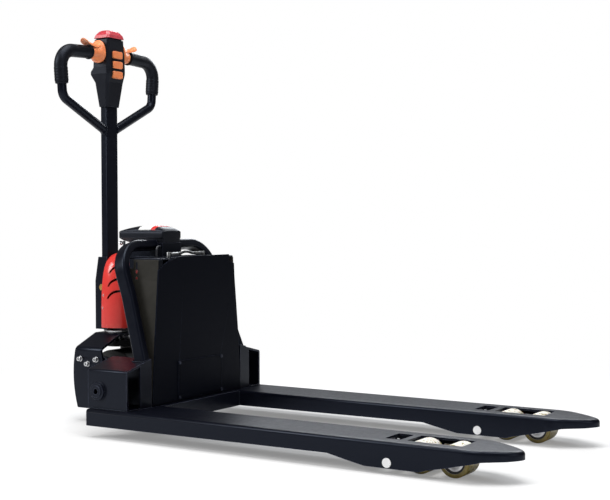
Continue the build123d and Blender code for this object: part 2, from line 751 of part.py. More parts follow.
# Cover plate: wider at the foot, arched corner on one side, step on the other.
with BuildPart() as front_plate:
    with BuildSketch(across(plate_x - plate_t)):
        with BuildLine():
            Polyline((-66, 508), (157, 508), (157, 490), (184, 479), (186, 440), (204, 270), (217, 80), (-217, 80), (-204, 270), (-187, 470))
            ThreePointArc((-187, 470), (-143, 495), (-66, 508))
        make_face()
    extrude(amount=plate_t)
    with Locations(at(plate_x, 8, 143.5)):
        Box(20, 190, 84, mode=Mode.SUBTRACT)
    with BuildSketch(across(plate_x - plate_t)):
        with Locations((8 - 103, 92.5), (8 - 103, 194.5), (8 + 103, 92.5), (8 + 103, 194.5)):
            Circle(2.6)
    extrude(amount=plate_t, mode=Mode.SUBTRACT)
save(front_plate.part, "front_plate")

with BuildPart() as access_panel:
    with BuildSketch(across(plate_x)):
        with Locations((8, 143.5)):
            RectangleRounded(220, 114, 3)
    extrude(amount=2)
    with BuildSketch(across(plate_x)):
        with Locations((8 - 103, 92.5), (8 - 103, 194.5), (8 + 103, 92.5), (8 + 103, 194.5)):
            Circle(2.6)
    extrude(amount=2, mode=Mode.SUBTRACT)
save(access_panel.part, "access_panel")

with BuildPart() as panel_screws:
    for sy in (8 - 103, 8 + 103):
        for sz in (92.5, 194.5):
            with BuildSketch(across(plate_x - 8)):
                with Locations((sy, sz)):
                    Circle(2.5)
            extrude(amount=10)
            with BuildSketch(across(plate_x + 2)):
                with Locations((sy, sz)):
                    Circle(4.8)
            extrude(amount=2.6)
            with BuildSketch(across(plate_x + 4.6)):
                with Locations((sy, sz)):
                    RegularPolygon(radius=1.9, side_count=6)
            extrude(amount=-1.6, mode=Mode.SUBTRACT)
save(panel_screws.part, "panel_screws")

# Side sheets of the box, leaning in towards the top, with a slot and a hole.
with BuildPart() as side_panels:
    for s in (-1, 1):
        with BuildSketch(across(-30)):
            with BuildLine():
                Polyline((s * 217, 80), (s * 204, 270), (s * 187.2, 440), (s * 184.5, 500), (s * 181.5, 500), (s * 184.2, 440), (s * 201, 270),
                         (s * 214, 80), close=True)
            make_face()
        extrude(amount=166)
    with BuildSketch(side(0)):
        with BuildLine():
            Polyline((-26, 474), (44, 474), (45, 500), (136, 500), (136, 80), (82, 80), (82, 200), (60, 240), (38, 300), (-15, 440), close=True)
        make_face()
    extrude(amount=300, both=True, mode=Mode.INTERSECT)
    with BuildSketch(side(0)):
        with Locations((56, 476)):
            SlotOverall(34, 8, rotation=90)
        with Locations((56, 446)):
            Circle(4.5)
    extrude(amount=300, both=True, mode=Mode.SUBTRACT)
save(side_panels.part, "side_panels")

# Guard hoops: rectangular tube, one bend from each heel bracket up and in to
# the battery dock, in a plane that leans back.
lean = 0.345
un = (1 + lean * lean) ** 0.5
hoop_plane = Plane(origin=at(115, 0, 208), x_dir=(0, 1, 0), z_dir=(1 / un, 0, lean / un))
hoop_top = (558 - 208) * un - 7
with BuildPart() as guard_hoops:
    for s in (-1, 1):
        with BuildSketch(hoop_plane):
            with BuildLine():
                FilletPolyline((s * 250, -40), (s * 226, 200), (s * 226, hoop_top), (s * 45.2, hoop_top), radius=[160, 100])
                Polyline((s * 45.2, hoop_top), (s * 45.2, hoop_top - 27))
                FilletPolyline((s * 45.2, hoop_top - 27), (s * 199, hoop_top - 27), (s * 199, 200), (s * 223, -40), radius=[73, 187])
                Polyline((s * 223, -40), (s * 250, -40))
            make_face()
        extrude(amount=21, both=True)
    long_edges = guard_hoops.edges().filter_by(lambda e: e.length > 60)
    fillet(long_edges, radius=8)
    for s in (-1, 1):
        with BuildSketch(across(0)):
            with BuildLine():
                Polyline((s * 150, 234.63), (s * 400, 174.45), (s * 400, 50), (s * 150, 50), close=True)
            make_face()
        extrude(amount=200, mode=Mode.SUBTRACT)
save(guard_hoops.part, "guard_hoops")

# Top of the box with the battery dock and the beam the cylinder lifts on.
with BuildPart() as battery_dock:
    with BuildSketch(plan(500)):
        with BuildLine():
            Polyline((-66, -60), (-66, 60), (-12, 168), (44, 168), (46, 181), (136, 181), (136, -181), (46, -181), (44, -168), (-12, -168), close=True)
        make_face()
    extrude(amount=4)
    with Locations(at(-26, 0, 462)):
        Box(132, 90, 84, align=LOW)
    with Locations(at(-77, 0, 458)):
        Box(22, 82, 80, align=LOW, mode=Mode.SUBTRACT)
    with Locations(at(-13, 0, 470)):
        Box(98, 82, 90, align=LOW, mode=Mode.SUBTRACT)
save(battery_dock.part, "battery_dock")

# Removable battery: body in the dock, domed cap with an overhanging lip.
with BuildPart() as battery_pack:
    with Locations(at(-13, 0, 470.5)):
        Box(96, 80, 80, align=LOW)
    with BuildSketch(side(45)):
        with BuildLine():
            Polyline((-64, 547), (-64, 551), (-112, 551), (-138, 562), (-138, 578))
            ThreePointArc((-138, 578), (-42, 599), (40, 585))
            Polyline((40, 585), (40, 547), (-64, 547))
        make_face()
    extrude(amount=90)
    crown = battery_pack.edges().filter_by(lambda e: abs(abs(e.center().Y) - 45) < 0.1 and e.center().Z > 582 and e.length > 60)
    fillet(crown, radius=8)
    # groove under the lip
    for s in (-1, 1):
        with Locations(at(-9, s * 44, 554)):
            Box(98, 4, 10, mode=Mode.SUBTRACT)
    with Locations(at(-122, -34, 521)):
        Cylinder(6, 37, align=LOW)
save(battery_pack.part, "battery_pack")

with BuildPart() as battery_latch:
    with BuildSketch(across(-128.3)):
        with Locations((-34, 544)):
            Circle(3.5)
    extrude(amount=-6)
    with BuildSketch(across(-133)):
        with Locations((-34, 544)):
            Circle(6.5)
    extrude(amount=-4.8)
    fillet(battery_latch.faces().sort_by(Axis.X)[0].edges(), radius=1.5)
save(battery_latch.part, "battery_latch")

# Hydraulic power unit: pump motor, valve block and tank, on the cross member.
with BuildPart() as power_unit:
    with Locations(at(101, 30, 112)):
        Box(60, 64, 56)
    with BuildSketch(side(-2)):
        with Locations((100, 116)):
            Circle(31)
    extrude(amount=112)
    with Locations(at(101, 112, 122)):
        Box(60, 96, 80)
    with Locations(at(101, 30, 146)):
        Cylinder(12, 24)
    with Locations(at(101, 0, 82)):
        Box(56, 250, 4)
save(power_unit.part, "power_unit")

with BuildPart() as controller:
    with Locations(at(119, 0, 350)):
        Box(34, 170, 120)
    for k in range(7):
        with Locations(at(98, -72 + 24 * k, 350)):
            Box(10, 5, 116)
save(controller.part, "controller")

# Battery lead: from the side of the dock over and down into the box.
cable_d = 7.0
cable_pts = [(31.5, -45.1, 535), (31.5, -58, 535), (33, -66, 527), (34, -67, 504.2)]
with BuildPart() as battery_cable:
    with BuildLine() as cable_path:
        FilletPolyline(*[at(*p) for p in cable_pts], radius=[8, 9])
    with BuildSketch(Plane(origin=cable_path.line @ 0, z_dir=cable_path.line % 0)):
        Circle(cable_d / 2)
    sweep()
print("battery cable length", round(sum(e.length for e in cable_path.edges()), 1), "radii 8 9, volume ratio",
      round(battery_cable.part.volume / (3.14159265 * cable_d ** 2 / 4 * sum(e.length for e in cable_path.edges())), 4))
save(battery_cable.part, "battery_cable")

# Hose across the top of the box, arched between two crimped ferrules.
hose_d = 8.0
hose_pts = [(118, -72, 515.3), (118, -60, 515.3), (118, -31, 523.3), (118, -2, 515.3), (118, 10, 515.3)]
with BuildPart() as hose:
    with BuildLine() as hose_path:
        FilletPolyline(*[at(*p) for p in hose_pts], radius=[55, 75, 55])
    with BuildSketch(Plane(origin=hose_path.line @ 0, z_dir=hose_path.line % 0)):
        Circle(hose_d / 2)
    sweep()
print("hose length", round(sum(e.length for e in hose_path.edges()), 1), "radii 55 75 55, volume ratio",
      round(hose.part.volume / (3.14159265 * hose_d ** 2 / 4 * sum(e.length for e in hose_path.edges())), 4))
save(hose.part, "hose")

with BuildPart() as hose_fittings:
    for y0, sgn in ((-72.1, -1), (10.1, 1)):
        with BuildSketch(side(y0)):
            with Locations((118, 515.3)):
                Circle(4.8)
        extrude(amount=-sgn * 28)
        with BuildSketch(side(y0 + sgn * 28)):
            with Locations((118, 515.3)):
                RegularPolygon(radius=6, side_count=6)
        extrude(amount=-sgn * 9)
        with Locations(at(118, y0 + sgn * 42, 504)):
            Cylinder(5.5, 16.5, align=LOW)
save(hose_fittings.part, "hose_fittings")
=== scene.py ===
import bpy
import bmesh
import json
import math
import random
from mathutils import Vector, Matrix


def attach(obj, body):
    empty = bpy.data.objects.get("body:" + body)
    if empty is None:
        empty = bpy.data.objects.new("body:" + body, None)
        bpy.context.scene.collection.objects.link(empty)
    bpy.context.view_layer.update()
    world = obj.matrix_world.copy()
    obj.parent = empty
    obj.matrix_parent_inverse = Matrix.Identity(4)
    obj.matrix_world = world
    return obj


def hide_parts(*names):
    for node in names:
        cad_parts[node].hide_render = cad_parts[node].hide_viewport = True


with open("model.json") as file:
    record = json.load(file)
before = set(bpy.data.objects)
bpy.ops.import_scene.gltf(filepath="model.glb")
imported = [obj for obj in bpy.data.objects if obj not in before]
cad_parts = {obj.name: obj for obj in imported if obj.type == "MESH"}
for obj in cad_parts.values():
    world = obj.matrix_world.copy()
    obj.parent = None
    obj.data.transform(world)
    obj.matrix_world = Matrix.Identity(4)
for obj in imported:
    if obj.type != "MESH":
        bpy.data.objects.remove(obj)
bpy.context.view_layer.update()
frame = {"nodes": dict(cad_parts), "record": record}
random.seed(7)
CX = 508.0  # fork heel to the origin, mm
nodes = frame["nodes"]
scene = bpy.context.scene


def M(x, y, z):
    """Heel-based millimetres to frame metres."""
    return Vector(((x - CX) / 1000, y / 1000, z / 1000))


# ------------------------------------------------------------------ camera
cam_data = bpy.data.cameras.new("camera")
cam = bpy.data.objects.new("camera", cam_data)
scene.collection.objects.link(cam)
scene.camera = cam
yaw, pitch, roll = math.radians(32.4352), math.radians(1.5092), math.radians(-0.1923)
fwd = Vector((-math.sin(yaw) * math.cos(pitch), math.cos(yaw) * math.cos(pitch), -math.sin(pitch)))
right = Vector((math.cos(yaw), math.sin(yaw), 0))
up = right.cross(fwd)
r2 = math.cos(roll) * right + math.sin(roll) * up
u2 = -math.sin(roll) * right + math.cos(roll) * up
rot = Matrix((r2, u2, -fwd)).transposed()
cam.matrix_world = Matrix.Translation(M(2358.26, -2892.15, 619.15)) @ rot.to_4x4()
cam_data.sensor_fit = "HORIZONTAL"
cam_data.sensor_width = 36.0
cam_data.lens = 1208.338 / 610 * 36.0
cam_data.clip_start, cam_data.clip_end = 0.05, 60


# --------------------------------------------------------------- materials
def new_mat(name):
    m = bpy.data.materials.new(name)
    m.use_nodes = True
    nt = m.node_tree
    nt.nodes.clear()
    out = nt.nodes.new("ShaderNodeOutputMaterial")
    bsdf = nt.nodes.new("ShaderNodeBsdfPrincipled")
    nt.links.new(bsdf.outputs["BSDF"], out.inputs["Surface"])
    return m, nt, bsdf


def node(nt, kind, **props):
    n = nt.nodes.new(kind)
    for k, v in props.items():
        if k in n.inputs:
            n.inputs[k].default_value = v
        else:
            setattr(n, k, v)
    return n


def noise(nt, vec, scale, detail=4.0, rough=0.55, distortion=0.0):
    n = node(nt, "ShaderNodeTexNoise")
    n.inputs["Scale"].default_value = scale
    n.inputs["Detail"].default_value = detail
    n.inputs["Roughness"].default_value = rough
    n.inputs["Distortion"].default_value = distortion
    nt.links.new(vec, n.inputs["Vector"])
    return n.outputs["Fac"]


def ramp(nt, fac, lo, hi, a=0.0, b=1.0):
    n = node(nt, "ShaderNodeMapRange")
    n.clamp = True
    for i, v in enumerate((lo, hi, a, b)):
        n.inputs[i + 1].default_value = v
    nt.links.new(fac, n.inputs[0])
    return n.outputs[0]


def mix(nt, fac, a, b):
    n = node(nt, "ShaderNodeMix", data_type="RGBA")
    for sock, v in ((n.inputs[0], fac), (n.inputs[6], a), (n.inputs[7], b)):
        if hasattr(v, "links") or hasattr(v, "is_linked"):
            nt.links.new(v, sock)
        elif isinstance(v, (tuple, list)):
            sock.default_value = (*v[:3], 1.0)
        else:
            sock.default_value = v
    return n.outputs[2]


def maths(nt, op, a, b=None):
    n = node(nt, "ShaderNodeMath", operation=op)
    for i, v in enumerate((a, b)):
        if v is None:
            continue
        if hasattr(v, "is_linked"):
            nt.links.new(v, n.inputs[i])
        else:
            n.inputs[i].default_value = v
    return n.outputs[0]


def surface(name, base, second, rough=(0.35, 0.5), metallic=0.0, mottle=9.0, grain=500.0, grain_depth=0.00006,
            wave_scale=40.0, wave_depth=0.0, edge_wear_and_highlight=0.0, edge_wear_and_highlight_color=(0.3, 0.3, 0.32), edge_wear_and_highlight_radius=0.0022, dust_and_top_light=0.0,
            dust_and_top_light_color=(0.25, 0.24, 0.22), coat=0.0, coat_rough=0.15, scratches=0.0, spec=0.35, streak=None, sub=0.0, tint=(1, 1, 1)):
    """A finish with colour variation, fine grain, lightened edges (edge wear, and a painted highlight on the dark
    finishes), upward faces mixed to a dust colour (settled dust, and a painted top light on the rollers) and scratches.
    """
    m, nt, b = new_mat(name)
    tc = node(nt, "ShaderNodeTexCoord")
    vec = tc.outputs["Object"]
    geo = node(nt, "ShaderNodeNewGeometry")
    big = noise(nt, vec, mottle, 3.0)
    mid = noise(nt, vec, mottle * 7, 5.0, 0.6)
    fine = noise(nt, vec, grain, 2.0, 0.5)
    colour = mix(nt, ramp(nt, maths(nt, "ADD", maths(nt, "MULTIPLY", big, 0.6), maths(nt, "MULTIPLY", mid, 0.4)), 0.36, 0.64), base, second)
    r = ramp(nt, maths(nt, "ADD", maths(nt, "MULTIPLY", mid, 0.7), maths(nt, "MULTIPLY", big, 0.3)), 0.35, 0.65, rough[0], rough[1])
    # Upward-facing normals mixed toward the dust colour: settled dust, and on the rollers a painted top light.
    if dust_and_top_light:
        sep = node(nt, "ShaderNodeSeparateXYZ")
        nt.links.new(geo.outputs["Normal"], sep.inputs[0])
        upward = ramp(nt, sep.outputs["Z"], 0.55, 1.0)
        d = maths(nt, "MULTIPLY", maths(nt, "MULTIPLY", upward, ramp(nt, mid, 0.4, 0.75)), dust_and_top_light)
        colour = mix(nt, d, colour, dust_and_top_light_color)
        r = maths(nt, "ADD", r, maths(nt, "MULTIPLY", d, 0.35))
    if scratches:
        mp = node(nt, "ShaderNodeMapping")
        mp.inputs["Scale"].default_value = (18, 260, 260)
        nt.links.new(vec, mp.inputs["Vector"])
        s = noise(nt, mp.outputs[0], 1.0, 3.0, 0.7)
        s = maths(nt, "MULTIPLY", ramp(nt, s, 0.66, 0.74), ramp(nt, big, 0.45, 0.6))
        s = maths(nt, "MULTIPLY", s, scratches)
        colour = mix(nt, s, colour, edge_wear_and_highlight_color)
    # Bevel edge mask mixed toward the edge colour: edge wear, and a painted highlight along the edges of the dark
    # frame, plate and plastic finishes.
    if edge_wear_and_highlight:
        bev = node(nt, "ShaderNodeBevel", samples=6)
        bev.inputs["Radius"].default_value = edge_wear_and_highlight_radius
        dot = node(nt, "ShaderNodeVectorMath", operation="DOT_PRODUCT")
        nt.links.new(bev.outputs[0], dot.inputs[0])
        nt.links.new(geo.outputs["Normal"], dot.inputs[1])
        edge = ramp(nt, dot.outputs["Value"], 0.985, 0.82)
        edge = maths(nt, "MULTIPLY", edge, ramp(nt, noise(nt, vec, 45.0, 3.0, 0.6), 0.22, 0.5, 0.25, 1.0))
        edge = maths(nt, "MULTIPLY", edge, edge_wear_and_highlight)
        colour = mix(nt, edge, colour, edge_wear_and_highlight_color)
        r = maths(nt, "ADD", r, maths(nt, "MULTIPLY", edge, 0.12))
    nt.links.new(colour, b.inputs["Base Color"])
    nt.links.new(r, b.inputs["Roughness"])
    b.inputs["Metallic"].default_value = metallic
    b.inputs["Specular IOR Level"].default_value = spec
    b.inputs["Specular Tint"].default_value = (*tint, 1)
    if coat:
        b.inputs["Coat Weight"].default_value = coat
        b.inputs["Coat Roughness"].default_value = coat_rough
    if sub:
        b.inputs["Subsurface Weight"].default_value = sub
        b.inputs["Subsurface Scale"].default_value = 0.004
    bump = node(nt, "ShaderNodeBump")
    bump.inputs["Strength"].default_value = 1.0
    bump.inputs["Distance"].default_value = grain_depth
    nt.links.new(fine, bump.inputs["Height"])
    last = bump.outputs[0]
    if wave_depth:
        b2 = node(nt, "ShaderNodeBump")
        b2.inputs["Distance"].default_value = wave_depth
        nt.links.new(noise(nt, vec, wave_scale, 2.0), b2.inputs["Height"])
        nt.links.new(last, b2.inputs["Normal"])
        last = b2.outputs[0]
    if streak:
        axis_scale, depth = streak
        mp = node(nt, "ShaderNodeMapping")
        mp.inputs["Scale"].default_value = axis_scale
        nt.links.new(vec, mp.inputs["Vector"])
        b3 = node(nt, "ShaderNodeBump")
        b3.inputs["Distance"].default_value = depth
        nt.links.new(noise(nt, mp.outputs[0], 1.0, 4.0, 0.7), b3.inputs["Height"])
        nt.links.new(last, b3.inputs["Normal"])
        last = b3.outputs[0]
    nt.links.new(last, b.inputs["Normal"])
    return m


NAVY = (0.0022, 0.0026, 0.0056)
mats = {
    # painted highlight: the bluish edge colour brightens the frame's edges
    "frame_dark": surface("frame_dark", NAVY, (0.0029, 0.0033, 0.0066), (0.28, 0.36), grain=650, grain_depth=0.000008, wave_scale=26,
                          wave_depth=0.00005, edge_wear_and_highlight=0.9, edge_wear_and_highlight_color=(0.085, 0.095, 0.140), edge_wear_and_highlight_radius=0.0022, dust_and_top_light=0.0, coat=0.0, scratches=0.0, spec=0.19, tint=(0.64, 0.76, 1.0)),
    # painted shade: a darker copy of frame_dark for the front plate and access panel, with a painted highlight in the
    # bluish edge colour
    "plate_dark": surface("plate_dark", (0.0012, 0.0015, 0.0034), (0.0017, 0.0020, 0.0042), (0.42, 0.50), grain=650, grain_depth=0.000006, wave_scale=14,
                          wave_depth=0.00005, edge_wear_and_highlight=0.9, edge_wear_and_highlight_color=(0.040, 0.048, 0.080), edge_wear_and_highlight_radius=0.0018, dust_and_top_light=0.0, spec=0.06, tint=(0.5, 0.65, 1.0)),
    "panel_grey": surface("panel_grey", (0.019, 0.018, 0.0155), (0.026, 0.0245, 0.021), (0.36, 0.46), grain=600, grain_depth=0.00001,
                          wave_scale=18, wave_depth=0.00006, edge_wear_and_highlight=0.5, edge_wear_and_highlight_color=(0.11, 0.105, 0.095), dust_and_top_light=0.0, spec=0.15),
    "cover_red": surface("cover_red", (0.68, 0.045, 0.036), (0.62, 0.036, 0.030), (0.20, 0.28), grain=900, grain_depth=0.000006,
                         wave_scale=16, wave_depth=0.00008, edge_wear_and_highlight=0.4, edge_wear_and_highlight_color=(0.8, 0.2, 0.16), dust_and_top_light=0.0, coat=0.35, coat_rough=0.12),
    "cap_red": surface("cap_red", (0.50, 0.040, 0.060), (0.44, 0.034, 0.050), (0.30, 0.42), grain=1200, grain_depth=0.00001, edge_wear_and_highlight=0.5,
                       edge_wear_and_highlight_color=(0.75, 0.22, 0.24), dust_and_top_light=0.04, sub=0.15, spec=0.5),
    # painted highlight: the bluish edge colour brightens the plastic's edges
    "black_plastic": surface("black_plastic", (0.0042, 0.0046, 0.0070), (0.0056, 0.0060, 0.0086), (0.36, 0.46), grain=1500, grain_depth=0.00002,
                             edge_wear_and_highlight=0.5, edge_wear_and_highlight_color=(0.06, 0.065, 0.085), dust_and_top_light=0.0, spec=0.24, tint=(0.72, 0.80, 1.0)),
    "grip_rubber": surface("grip_rubber", (0.0040, 0.0042, 0.0058), (0.0054, 0.0056, 0.0072), (0.40, 0.50), grain=1100, grain_depth=0.00003,
                           edge_wear_and_highlight=0.0, dust_and_top_light=0.0, spec=0.20, tint=(0.65, 0.76, 1.0)),
    "button_orange": surface("button_orange", (0.84, 0.270, 0.105), (0.76, 0.220, 0.080), (0.30, 0.42), grain=1400, grain_depth=0.00001, edge_wear_and_highlight=0.55,
                             edge_wear_and_highlight_color=(0.95, 0.60, 0.40), dust_and_top_light=0.03, sub=0.10, spec=0.45),
    "steel": surface("steel", (0.56, 0.56, 0.57), (0.44, 0.44, 0.46), (0.22, 0.4), metallic=1.0, grain=900, grain_depth=0.00002, edge_wear_and_highlight=0.3,
                     edge_wear_and_highlight_color=(0.75, 0.75, 0.77), streak=((60, 900, 900), 0.00002)),
    "chrome": surface("chrome", (0.82, 0.82, 0.84), (0.74, 0.74, 0.76), (0.06, 0.16), metallic=1.0, grain=300, grain_depth=0.000005),
    "cast": surface("cast", (0.030, 0.030, 0.033), (0.050, 0.048, 0.047), (0.5, 0.7), metallic=0.4, grain=420, grain_depth=0.0002,
                    wave_scale=60, wave_depth=0.0002, edge_wear_and_highlight=0.5, edge_wear_and_highlight_color=(0.2, 0.2, 0.21), dust_and_top_light=0.1),
    "aluminium": surface("aluminium", (0.5, 0.5, 0.52), (0.4, 0.4, 0.42), (0.35, 0.5), metallic=0.9, grain=500, grain_depth=0.00008, edge_wear_and_highlight=0.3),
    "motor_black": surface("motor_black", (0.012, 0.012, 0.014), (0.018, 0.018, 0.020), (0.4, 0.55), grain=500, grain_depth=0.00005, dust_and_top_light=0.1),
    "tyre_black": surface("tyre_black", (0.010, 0.010, 0.010), (0.016, 0.016, 0.016), (0.55, 0.75), grain=700, grain_depth=0.0001, dust_and_top_light=0.12,
                          wave_scale=90, wave_depth=0.0001),
    # painted top light: upward faces are mixed to pale cream over the amber-olive base, so each roller is light on top
    # and darker below
    "roller_cream": surface("roller_cream", (0.30, 0.235, 0.065), (0.22, 0.165, 0.040), (0.22, 0.36), mottle=14.0, grain=500, grain_depth=0.00002, dust_and_top_light=12.0,
                            dust_and_top_light_color=(0.72, 0.70, 0.64), wave_scale=60, wave_depth=0.0001, sub=0.08),
    "cable_grey": surface("cable_grey", (0.040, 0.043, 0.052), (0.030, 0.032, 0.040), (0.28, 0.4), grain=900, grain_depth=0.00003, spec=0.5),
    "hose_black": surface("hose_black", (0.008, 0.008, 0.009), (0.013, 0.013, 0.014), (0.35, 0.5), grain=1500, grain_depth=0.0001),
    "zinc": surface("zinc", (0.62, 0.62, 0.63), (0.50, 0.51, 0.53), (0.25, 0.42), metallic=1.0, grain=700, grain_depth=0.00003),
    "crimp": surface("crimp", (0.26, 0.265, 0.265), (0.19, 0.195, 0.20), (0.32, 0.48), metallic=0.9, grain=700, grain_depth=0.00004, streak=((900, 60, 900), 0.00003)),
    "brass_fit": surface("brass_fit", (0.55, 0.36, 0.12), (0.45, 0.28, 0.09), (0.25, 0.4), metallic=1.0, grain=700, grain_depth=0.00003),
    "label_white": surface("label_white", (0.78, 0.78, 0.77), (0.7, 0.7, 0.69), (0.3, 0.4), grain=900, grain_depth=0.00001, dust_and_top_light=0.1),
    "label_red": surface("label_red", (0.6, 0.03, 0.025), (0.5, 0.025, 0.02), (0.3, 0.4), grain=900, grain_depth=0.00001),
    "pin_white": surface("pin_white", (0.80, 0.80, 0.80), (0.68, 0.68, 0.69), (0.25, 0.4), metallic=0.6, grain=700, grain_depth=0.00003),
}
slots = {s["node"]: s["material_slot"] for s in frame["record"]["subparts"]}


def paint(o, mat):
    if not isinstance(mat, str):
        m = mat
    else:
        m = mats[mat]
    if o.data.materials:
        for i in range(len(o.data.materials)):
            o.data.materials[i] = m
    else:
        o.data.materials.append(m)


for name, o in nodes.items():
    paint(o, slots.get(name, "frame_dark") if slots.get(name, "frame_dark") in mats else "frame_dark")


# ------------------------------------------------------------- mesh helpers
def obj_from(bm, name, body, mat, smooth_angle=35, replaces=()):
    me = bpy.data.meshes.new(name)
    bmesh.ops.recalc_face_normals(bm, faces=bm.faces)
    bm.to_mesh(me)
    bm.free()
    for p in me.polygons:
        p.use_smooth = True
    me.set_sharp_from_angle(angle=math.radians(smooth_angle))
    o = bpy.data.objects.new(name, me)
    scene.collection.objects.link(o)
    paint(o, mat)
    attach(o, body)
    if replaces:
        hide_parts(*replaces)
    return o


def soften(names, width=0.0012, segments=2, angle=28):
    """Small machined or moulded edge rounding on carried-over nodes."""
    for n in names:
        o = nodes[n]
        w = o.modifiers.new("weld", "WELD")
        w.merge_threshold = 0.00001
        b = o.modifiers.new("edge", "BEVEL")
        b.width = width
        b.segments = segments
        b.limit_method = "ANGLE"
        b.angle_limit = math.radians(angle)
        b.harden_normals = False
        b.use_clamp_overlap = True


# ------------------------------------------------------------------- stage
bm = bmesh.new()
bmesh.ops.create_grid(bm, x_segments=2, y_segments=2, size=14)
me = bpy.data.meshes.new("floor")
bm.to_mesh(me)
bm.free()
floor = bpy.data.objects.new("floor", me)
scene.collection.objects.link(floor)
floor.location = (0, 0, -0.0004)
fm, fnt, fb = new_mat("floor_pale")
ftc = node(fnt, "ShaderNodeTexCoord")
fcol = mix(fnt, noise(fnt, ftc.outputs["Object"], 1.5, 3.0), (0.80, 0.80, 0.80), (0.82, 0.82, 0.82))
fnt.links.new(fcol, fb.inputs["Base Color"])
fb.inputs["Roughness"].default_value = 0.85
fb.inputs["Specular IOR Level"].default_value = 0.05
even = node(fnt, "ShaderNodeEmission")
even.inputs["Color"].default_value = (1.0, 1.0, 1.0, 1)
even.inputs["Strength"].default_value = 1.0
flen = node(fnt, "ShaderNodeVectorMath", operation="LENGTH")
fnt.links.new(ftc.outputs["Object"], flen.inputs[0])
flp = node(fnt, "ShaderNodeLightPath")
ffac = maths(fnt, "MULTIPLY", ramp(fnt, flen.outputs["Value"], 0.75, 1.9, 0.25, 1.0), flp.outputs["Is Camera Ray"])
fmx = node(fnt, "ShaderNodeMixShader")
fnt.links.new(ffac, fmx.inputs[0])
fnt.links.new(fb.outputs["BSDF"], fmx.inputs[1])
fnt.links.new(even.outputs[0], fmx.inputs[2])
fnt.links.new(fmx.outputs[0], [n for n in fnt.nodes if n.type == "OUTPUT_MATERIAL"][0].inputs["Surface"])
me.materials.append(fm)

world = bpy.data.worlds.new("studio")
scene.world = world
world.use_nodes = True
wnt = world.node_tree
bg = wnt.nodes["Background"]
bg.inputs[0].default_value = (1.0, 1.0, 1.0, 1)
bg.inputs[1].default_value = 0.13
seen = wnt.nodes.new("ShaderNodeBackground")
seen.inputs[0].default_value = (1.0, 1.0, 1.0, 1)
seen.inputs[1].default_value = 1.0
lp = wnt.nodes.new("ShaderNodeLightPath")
wmix = wnt.nodes.new("ShaderNodeMixShader")
wnt.links.new(lp.outputs["Is Camera Ray"], wmix.inputs[0])
wnt.links.new(bg.outputs[0], wmix.inputs[1])
wnt.links.new(seen.outputs[0], wmix.inputs[2])
wnt.links.new(wmix.outputs[0], wnt.nodes["World Output"].inputs[0])


def area(name, loc, target, size, size_y, power, color=(1, 1, 1)):
    d = bpy.data.lights.new(name, "AREA")
    d.shape = "RECTANGLE"
    d.size, d.size_y = size, size_y
    d.energy = power
    d.color = color
    o = bpy.data.objects.new(name, d)
    scene.collection.objects.link(o)
    o.location = loc
    o.rotation_mode = "QUATERNION"
    o.rotation_quaternion = (Vector(target) - Vector(loc)).to_track_quat("-Z", "Y")
    return o


area("key", (-3.0, -3.4, 3.0), (-0.2, 0, 0.5), 1.8, 2.2, 150)
area("fill", (4.2, -1.6, 2.0), (0.2, 0, 0.3), 1.2, 1.6, 26)
area("rim", (-1.5, 3.6, 2.6), (0, 0, 0.5), 3.2, 1.0, 110, (0.93, 0.96, 1.0))
area("top", (0.2, -0.4, 4.2), (0.2, 0, 0), 3.4, 3.0, 190)

scene.view_settings.view_transform = "Standard"
scene.view_settings.look = "None"

# ----------------------------------------------------------- edge rounding
soften(["chassis_arch", "chassis_frame", "cross_member", "left_heel_bracket", "right_heel_bracket"], 0.0010, 2)
soften(["left_fork", "right_fork"], 0.0012, 2, 40)
soften(["head_housing"], 0.0030, 3, 14)
soften(["belly_button"], 0.0045, 4, 10)
soften(["tiller_base", "front_plate", "side_panels", "access_panel", "battery_dock"], 0.0006, 2)
soften(["tiller_tube"], 0.0004, 1)
soften(["rocker", "left_push_rod", "right_push_rod", "left_roller_arm", "right_roller_arm", "left_bogie", "right_bogie"], 0.0007, 1, 40)
soften(["power_unit", "controller", "gearbox_housing", "lift_cylinder", "drive_hub", "turntable"], 0.0010, 2, 40)
soften(["arch_bolts", "panel_screws", "hose_fittings", "tiller_pivot_pin", "fork_pins"], 0.0004, 1, 40)
paint(nodes["tiller_pivot_pin"], "brass_fit")
paint(nodes["fork_pins"], "pin_white")
paint(nodes["arch_bolts"], "zinc")
paint(nodes["panel_screws"], "frame_dark")
paint(nodes["hose_fittings"], "crimp")
# painted shade: front plate and access panel take the darker copy of the frame finish
for n in ("front_plate", "access_panel"):
    paint(nodes[n], "plate_dark")


# ---------------------------------------------------------------- builders
def frames(pts):
    """A moving frame along a path, without twist."""
    n = len(pts)
    tang = []
    for i in range(n):
        a = pts[max(i - 1, 0)]
        b = pts[min(i + 1, n - 1)]
        tang.append((b - a).normalized())
    ref = Vector((0, 0, 1)) if abs(tang[0].z) < 0.9 else Vector((1, 0, 0))
    u = tang[0].cross(ref).normalized()
    res = []
    for t in tang:
        u = (u - t * u.dot(t)).normalized()
        res.append((t, u, t.cross(u).normalized()))
    return res


def sweep_tube(bm, pts, radii, segs=14, squash=1.0):
    rings = []
    for p, r, (t, u, v) in zip(pts, radii, frames(pts)):
        rings.append([bm.verts.new(p + (u * math.cos(2 * math.pi * k / segs) + v * math.sin(2 * math.pi * k / segs) * squash) * r) for k in range(segs)])
    for a, b in zip(rings, rings[1:]):
        for k in range(segs):
            bm.faces.new((a[k], a[(k + 1) % segs], b[(k + 1) % segs], b[k]))
    bm.faces.new(list(reversed(rings[0])))
    bm.faces.new(rings[-1])


